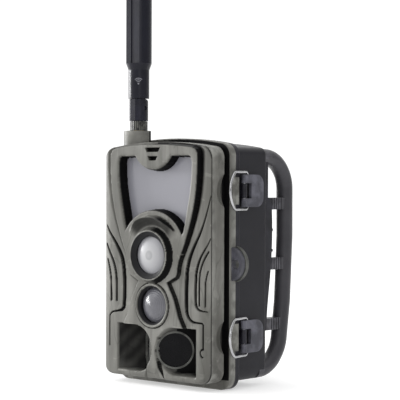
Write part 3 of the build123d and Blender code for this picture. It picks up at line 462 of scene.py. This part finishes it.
def within(outline, x, z):
    """Distance inside a closed outline; negative outside it."""
    gap = np.full(x.shape, 1e9)
    inside = np.zeros(x.shape, bool)
    for (x0, z0), (x1, z1) in zip(outline, outline[1:] + outline[:1]):
        dx, dz = x1 - x0, z1 - z0
        t = np.clip(((x - x0) * dx + (z - z0) * dz) / (dx * dx + dz * dz), 0, 1)
        gap = np.minimum(gap, np.hypot(x - x0 - t * dx, z - z0 - t * dz))
        if dz:
            inside ^= ((z0 > z) != (z1 > z)) & (x < x0 + (z - z0) / dz * dx)
    return np.where(inside, gap, -gap)


def ease(low, high, value):
    """Smooth step from 0 at low to 1 at high."""
    t = np.clip((value - low) / (high - low), 0, 1)
    return t * t * (3 - 2 * t)


def rounded(radius, distance):
    """How far a rounded edge falls back at a distance from the edge."""
    t = np.clip(1 - distance / radius, 0, 1)
    return radius * (1 - np.sqrt(1 - t * t))


def window_gap(x, z):
    """Distance inside the window's opening, and the distance to the ledge of the brow alone."""
    ledge = np.hypot(x, z - LENS_Z) - LEDGE_R
    tongue = np.hypot(x, z - TONGUE_Z) - TONGUE_R
    ax = np.where(x < 0, np.abs(x) + WINDOW_SHIFT * ease(10, 20, np.abs(x)), x)
    return np.minimum(within(WINDOW_EDGE, ax, z), np.minimum(ledge, tongue)), ledge


def pocket_gap(x, z):
    """Distance inside a side pocket."""
    ax = np.where(x < 0, np.abs(x) + POCKET_SHIFT, x)
    square = np.minimum(POCKET_HALF_X - np.abs(ax - POCKET_X), POCKET_HALF_Z - np.abs(z - POCKET_Z))
    return np.maximum(square, POCKET_ARC_R - np.hypot(ax - POCKET_ARC_X, z - POCKET_Z))


def side_fall(ax):
    """How far the moulding falls back towards its sides."""
    t = np.clip(1 - (HALF_WIDTH - ax) / SIDE_ROLL, 0, 1)
    return SIDE_FALL * (1 - np.sqrt(1 - t * t))


# Each function below takes the points' X and Z and returns their depth Y and how much painted shade the
# surface gets, from 0
# to 1: the shade of recesses, grooves and walls turned from the light. Where the moulding is open, it also
# says which points are gone.
def panel_relief(x, z, border):
    """The lower panel with its valley and grooves, and the plate that stands on it."""
    ax = np.abs(x)
    right = x > 0
    plate = within(PLATE, ax, z)
    low = plate < EDGE
    valley = np.interp(z, (66, 74, 90, 105), (1.2, 1.3, 1.9, 2.2))
    reach = np.interp(z, (66, 74, 90, 110, 140), (1.6, 1.8, 2.7, 4.2, 4.8))
    falling = 1 - ease(0.0, 1.0, -plate / reach)
    sides = side_fall(ax)
    y = PANEL_Y + valley * falling + np.maximum(sides, rounded(1.6, border))
    # painted shade: the valley beside the plate darkens as it falls away, fully on the right, which faces
    # away from the light, and less on the left
    dark = np.where(low, falling**0.6 * np.where(right, 1.0, 0.3), 0.0)
    for grooves, half, sign in ((RIGHT_GROOVES, right, 1), (LEFT_GROOVES, ~right, -1)):
        seen = ax + sign * SEEN_SHIFT * sides
        for line, depth in grooves:
            gap = beside(curve(line) if len(line) > 3 else line, seen, z)
            here = low & half
            y = y + depth * np.clip(-gap / 0.3, 0, 1) * here
            # painted shade in the grooves
            dark = np.maximum(dark, ease(-0.15, 0.15, -gap) * here)
    boss = np.hypot(x - BOSS_X, z - BOSS_Z)
    crescent = (boss > BOSS_R) * (boss < BOSS_GROOVE_R) * (x < BOSS_X - 0.4)
    y = y + crescent * 0.8 - np.clip(BOSS_R - boss, 0, 0.3)
    # painted shade in the crescent groove round the boss
    dark = np.maximum(dark, crescent * 1.0)
    raised = FACE_Y + rounded(0.7, np.maximum(plate, 0))
    share = np.where(plate > -EDGE, ease(4, 13, z), 0)
    return y * (1 - share) + raised * share, dark


def window_relief(x, z, y, dark):
    """The window's opening, with a softer lip where it isn't bounded by the brow."""
    opening, ledge = window_gap(x, z)
    soft = np.where(ledge - opening < 0.01, 0.5, 1.5)
    lip = y + rounded(soft, np.maximum(-opening, 0)) * (y < PANEL_Y - 1)
    y = np.where(opening < EDGE, lip, WINDOW_Y)
    # painted shadow: the opening's walls are made fully dark
    return y, np.where(opening > -EDGE, 1.0, dark), opening > 0.45


def brow_relief(x, z, y, dark):
    """The hooded brow over the lens, and the lens tube."""
    r = np.hypot(x, z - LENS_Z)
    swing = np.degrees(np.abs(np.arctan2(x, z - LENS_Z)))
    hood = HOOD_RISE * (1 - ease(26, 58, swing))
    wall = np.clip((HOOD_R - r) / 1.0, 0, 1)
    bowl = np.clip((r - TUBE_R) / 5.6, 0, 1)**1.7
    over = (r < HOOD_R) & (z > LENS_Z) & (hood > 0.02)
    crest = r > CREST_R - EDGE
    y = np.where(over, FACE_Y - hood * np.where(crest, wall, bowl), y)
    # painted shade: the hood's outer wall darkens where it faces right, away from the light
    shaded = ease(0, 9, x) * ease(0.2, 0.8, hood)
    dark = np.where(over & crest, shaded, dark)
    # painted shade under the brow's lip, in the bowl above the lens tube
    under = 0.80 * (1 - ease(38, 60, swing)) * ease(16.8, 18.6, r)
    dark = np.where(over & ~crest, np.maximum(dark, under), dark)
    tube = FACE_Y - HOOD_RISE * np.clip((TUBE_R - r) / TUBE_SLOPE, 0, 1)
    y = np.where(r < TUBE_R, tube, y)
    # painted shade on the lens tube's outer wall, darker on its right
    flank = (r < TUBE_R + 0.1) & (r > TUBE_R - TUBE_SLOPE + EDGE)
    dark = np.where(flank, 0.30 + 0.70 * ease(-3, 5, x), dark)
    inside = r < LENS_BORE_R - EDGE
    # painted shade: the bore's edge is made fully dark
    return np.where(inside, SEAM_Y, y), np.where(inside, 1.0, dark), r < LENS_BORE_R - 0.4


def motion_relief(x, z, y, dark):
    """The rounded ring round the motion sensor, with a narrow moat outside it."""
    p = np.hypot(x, z - PIR_Z)
    inside = p < PIR_BORE_R - EDGE
    ring = FACE_Y - 0.9 + rounded(0.6, PIR_RING_R - p) + rounded(0.5, p - PIR_BORE_R)
    y = np.where((p < PIR_RING_R) & (p > PIR_BORE_R - EDGE), np.minimum(ring, y), y)
    moat = (p >= PIR_RING_R) & (p < MOAT_R) & (y > FACE_Y - 0.2) & (np.hypot(x, z - LENS_Z) > TUBE_R)
    y = y + 0.6 * moat
    # painted shade: the moat darkens, more on its right, and the bore's edge is made fully dark
    dark = np.where(moat, 0.55 + 0.4 * ease(-4, 4, x), dark)
    return np.where(inside, SEAM_Y, y), np.where(inside, 1.0, dark), p < PIR_BORE_R - 0.45


def slot_relief(x, z, y, dark):
    """The two slots in the tongue over the window."""
    for outline in SLOTS:
        gap = within(outline, x, z)
        y = y + 3.0 * np.clip(gap / 0.3, 0, 1)
        # painted shade: the slots are made fully dark
        dark = np.where(gap > -0.1, 1.0, dark)
    return y, dark


def pocket_relief(x, z, y, dark):
    """The side pockets: a sensor wall that slopes outwards, and the wall that faces it."""
    ax = np.abs(x)
    right = x > 0
    pocket = pocket_gap(x, z)
    slope = FACE_Y + (ax - SLOPE_X) * math.tan(math.radians(SLOPE_ANGLE))
    far = np.where(right, FACING_RIGHT_X, FACING_LEFT_X)
    facing = PANEL_Y + (far - ax) * math.tan(math.radians(FACING_ANGLE))
    floor = np.maximum(np.minimum(slope, facing), y)
    seat = np.hypot((ax - SLOPE_X) / math.cos(math.radians(SLOPE_ANGLE)) - SEAT_ALONG, z - POCKET_Z)
    # painted shade on the pocket walls, growing with depth: on the left lighter towards its lower outer part,
    # on the right lighter round the sensor seat
    left_wall_shade = 0.90 + 0.05 * np.sin(0.9 * ax + 0.6 * z) - 0.35 * ease(16, 9, z) * ease(20, 30, ax)
    rim = 1.0 - 0.5 * ease(16.5, 14.0, seat) * (ax < 12)
    wall_dark = np.where(right, rim, np.where(facing < slope, left_wall_shade, 1.0)) * ease(0.2, 1.6, floor - y)
    dark = np.where(pocket > EDGE, wall_dark, dark)
    y = np.where(pocket > EDGE, floor, y + rounded(0.6, np.maximum(-pocket, 0)))
    return y, dark, (pocket > 0) & (seat < SEAT_R) & (slope < facing + 0.3)


def face_relief(x, z, border):
    """The whole moulding."""
    y, dark = panel_relief(x, z, border)
    y, dark, window_gone = window_relief(x, z, y, dark)
    y, dark, lens_gone = brow_relief(x, z, y, dark)
    y, dark, motion_gone = motion_relief(x, z, y, dark)
    y, dark = slot_relief(x, z, y, dark)
    y, dark, seat_gone = pocket_relief(x, z, y, dark)
    return y, dark, window_gone | lens_gone | motion_gone | seat_gone


def casing_edges(x):
    """Lowest and highest Z of the moulding at X."""
    corner = np.clip(np.abs(x) - CORNER_X, 0, CORNER_R)
    drop = CORNER_R - np.sqrt(np.maximum(CORNER_R**2 - corner**2, 0))
    return 4.6 + drop, 146.5 - x**2 / 480.0 - drop


def mesh_piece(name, vertices, faces, material, body, replaced):
    """A smooth-shaded piece that rides on a body and stands in for the replaced nodes."""
    mesh = bpy.data.meshes.new(name)
    mesh.from_pydata(vertices, [], faces)
    mesh.materials.append(material)
    mesh.polygons.foreach_set("use_smooth", [True] * len(mesh.polygons))
    piece = bpy.data.objects.new(name, mesh)
    bpy.context.scene.collection.objects.link(piece)
    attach(piece, body)
    if replaced:
        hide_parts(*replaced)
    return piece


CONTOURS = (
    lambda x, z: within(PLATE, np.abs(x), z),
    lambda x, z: window_gap(x, z)[0],
    pocket_gap,
    lambda x, z: np.hypot(x, z - LENS_Z) - LENS_BORE_R,
    lambda x, z: np.hypot(x, z - PIR_Z) - PIR_BORE_R,
    lambda x, z: np.hypot(x, z - LENS_Z) - CREST_R,
)


def snap_to_contours(x, z):
    """Moves the points beside each contour onto it, so that edges come out clean; the rim stays."""
    step = 0.02
    for gap in CONTOURS:
        here = gap(x, z)
        slope_x = (gap(x + step, z) - here) / step
        slope_z = (gap(x, z + step) - here) / step
        near = np.abs(here) < SNAP
        near[:2], near[-2:], near[:, :2], near[:, -2:] = False, False, False, False
        x = x - np.where(near, here * slope_x, 0)
        z = z - np.where(near, here * slope_z, 0)
    return x, z


def build_face():
    """Moulded face of the cover, with its window opening, brow, lens tube, pockets and grooves."""
    bend = np.sin(np.linspace(0, np.pi / 2, 26))
    side = CORNER_X + CORNER_R * bend[1:]
    columns = np.concatenate([-side[::-1], np.linspace(-CORNER_X, CORNER_X, 173), side])
    share = np.linspace(0, 1, 339)
    low, high = casing_edges(columns)
    x = np.repeat(columns[:, None], len(share), 1)
    z = low[:, None] + share[None, :] * (high - low)[:, None]
    x, z = snap_to_contours(x, z)
    outline = list(zip(columns, high)) + list(zip(columns[::-1], low[::-1]))
    y, dark, gone = face_relief(x, z, np.maximum(within(outline, x, z), 0))
    count = len(share)
    front = np.stack([x, y, z], -1).reshape(-1, 3)
    gone = gone.reshape(-1)
    cells = (np.arange(len(columns) - 1)[:, None] * count + np.arange(count - 1)[None, :]).reshape(-1)
    quads = np.stack([cells, cells + count, cells + count + 1, cells + 1], 1)
    quads = quads[~gone[quads].all(1)]
    edge = list(range(0, len(front), count)) + list(range(len(front) - count + 1, len(front)))
    edge += list(range(len(front) - count - 1, count - 2, -count)) + list(range(count - 2, 0, -1))
    back = front[edge].copy()
    back[:, 1] = SEAM_Y - 0.02
    start = len(front)
    skirt = []
    for index in range(len(edge)):
        after = (index + 1) % len(edge)
        skirt.append((edge[after], edge[index], start + index, start + after))
    vertices = (np.vstack([front, back]) * MM).tolist()
    piece = mesh_piece("moulded_face", vertices, quads.tolist() + skirt, CAMO, "cover", ("face_panel",))
    # painted shade: the face's border gets at least half shade and the skirt behind it full shade, a dark
    # line at the seam with the shell
    values = dark.reshape(-1)
    values[edge] = np.maximum(values[edge], 0.5)
    shade = piece.data.attributes.new("shade", "FLOAT", "POINT")
    shade.data.foreach_set("value", np.concatenate([values, np.ones(len(back))]).astype(np.float32))
    piece.data.set_sharp_from_angle(angle=math.radians(38))


# radius round the antenna, Z of the dot and half the width of a line, in millimetres
MARK_R, MARK_Z, MARK_HALF = 6.46, 182.4, 0.26
MARK_STEPS = 24


def build_signal_mark():
    """Three arcs over a dot, printed on the antenna's neck on the side that faces the camera."""
    vertices, faces = [], []
    facing = math.atan2(-0.745, 0.667)
    for radius, spread in ((0.25, 180), (1.3, 42), (2.3, 42), (3.3, 42)):
        start = len(vertices)
        for step in range(MARK_STEPS + 1):
            turn = math.radians(spread) * (2 * step / MARK_STEPS - 1)
            for reach in (max(radius - MARK_HALF, 0.0), radius + MARK_HALF):
                angle = facing + reach * math.sin(turn) / MARK_R
                x = NUT_AXIS[0] + MARK_R * MM * math.cos(angle)
                y = NUT_AXIS[1] + MARK_R * MM * math.sin(angle)
                vertices.append((x, y, (MARK_Z + reach * math.cos(turn)) * MM))
            if step:
                low = start + 2 * step - 2
                faces.append((low, low + 1, low + 3, low + 2))
    mesh_piece("signal_mark", vertices, faces, PRINT, "antenna_blade", ())


# ---- floor, lights and camera ----
WORLD_LEFT, WORLD_RIGHT, WORLD_TOP = 1.12, 0.36, 0.6
CAMERA_PLACE = (0.59721, -0.66317, 0.12197)
CAMERA_AZIMUTH, CAMERA_PITCH, CAMERA_ROLL = 41.856, 0.676, 0.187


def lay_floor():
    """Large plain ground that the object stands on."""
    bpy.ops.mesh.primitive_plane_add(size=14.0, location=(0, 3.0, 0))
    floor = bpy.context.object
    floor.name = "floor"
    floor.data.materials.append(pale_floor())


def add_area_light(name, place, target, size, power):
    """Round soft light that looks at the target."""
    data = bpy.data.lights.new(name, "AREA")
    data.shape = "DISK"
    data.size = size
    data.energy = power
    lamp = bpy.data.objects.new(name, data)
    bpy.context.scene.collection.objects.link(lamp)
    lamp.location = place
    aim = Vector(target) - Vector(place)
    lamp.rotation_euler = aim.to_track_quat("-Z", "Y").to_euler()


def set_world():
    """White studio all round: brighter overhead and to the left, dimmer to the right."""
    world = bpy.data.worlds.new("studio")
    bpy.context.scene.world = world
    world.use_nodes = True
    tree = world.node_tree
    sky = tree.nodes["Background"]
    place = tree.nodes.new("ShaderNodeTexCoord")
    parts = tree.nodes.new("ShaderNodeSeparateXYZ")
    tree.links.new(place.outputs["Generated"], parts.inputs[0])
    ranges = []
    for axis, spans in ((0, (-0.45, 0.75, WORLD_LEFT, WORLD_RIGHT)), (2, (0.15, 0.9, 0.0, WORLD_TOP))):
        node = tree.nodes.new("ShaderNodeMapRange")
        for key, value in zip(("From Min", "From Max", "To Min", "To Max"), spans):
            node.inputs[key].default_value = value
        tree.links.new(parts.outputs[axis], node.inputs["Value"])
        ranges.append(node.outputs[0])
    total = tree.nodes.new("ShaderNodeMath")
    tree.links.new(ranges[0], total.inputs[0])
    tree.links.new(ranges[1], total.inputs[1])
    tree.links.new(total.outputs[0], sky.inputs["Strength"])
    sky.inputs["Color"].default_value = (1.0, 1.0, 1.0, 1.0)


def add_camera():
    """Camera to the front right of the object, a little below its top."""
    azimuth = math.radians(CAMERA_AZIMUTH)
    pitch = math.radians(CAMERA_PITCH)
    roll = math.radians(CAMERA_ROLL)
    flat = math.cos(pitch)
    ahead = Vector((-math.sin(azimuth) * flat, math.cos(azimuth) * flat, -math.sin(pitch)))
    level = Vector((math.cos(azimuth), math.sin(azimuth), 0))
    above = level.cross(ahead)
    right = level * math.cos(roll) + above * math.sin(roll)
    up = above * math.cos(roll) - level * math.sin(roll)
    data = bpy.data.cameras.new("camera")
    data.lens = 130.4
    data.sensor_width = 36.0
    data.clip_start = 0.01
    data.clip_end = 50.0
    camera = bpy.data.objects.new("camera", data)
    bpy.context.scene.collection.objects.link(camera)
    turned = Matrix((right, up, -ahead)).transposed().to_4x4()
    camera.matrix_world = Matrix.Translation(CAMERA_PLACE) @ turned
    bpy.context.scene.camera = camera


finish_nodes()
build_face()
build_signal_mark()
lay_floor()
set_world()
add_area_light("key_light", (-1.1, -1.5, 1.3), (0, 0, 0.1), 0.8, 3.0)
add_area_light("side_light", (1.5, -1.2, 0.7), (0, 0, 0.1), 0.35, 3.5)
add_area_light("rim_light", (-1.7, -0.45, 0.35), (0, 0, 0.2), 0.5, 22.0)
add_camera()
bpy.context.scene.view_settings.view_transform = "Standard"
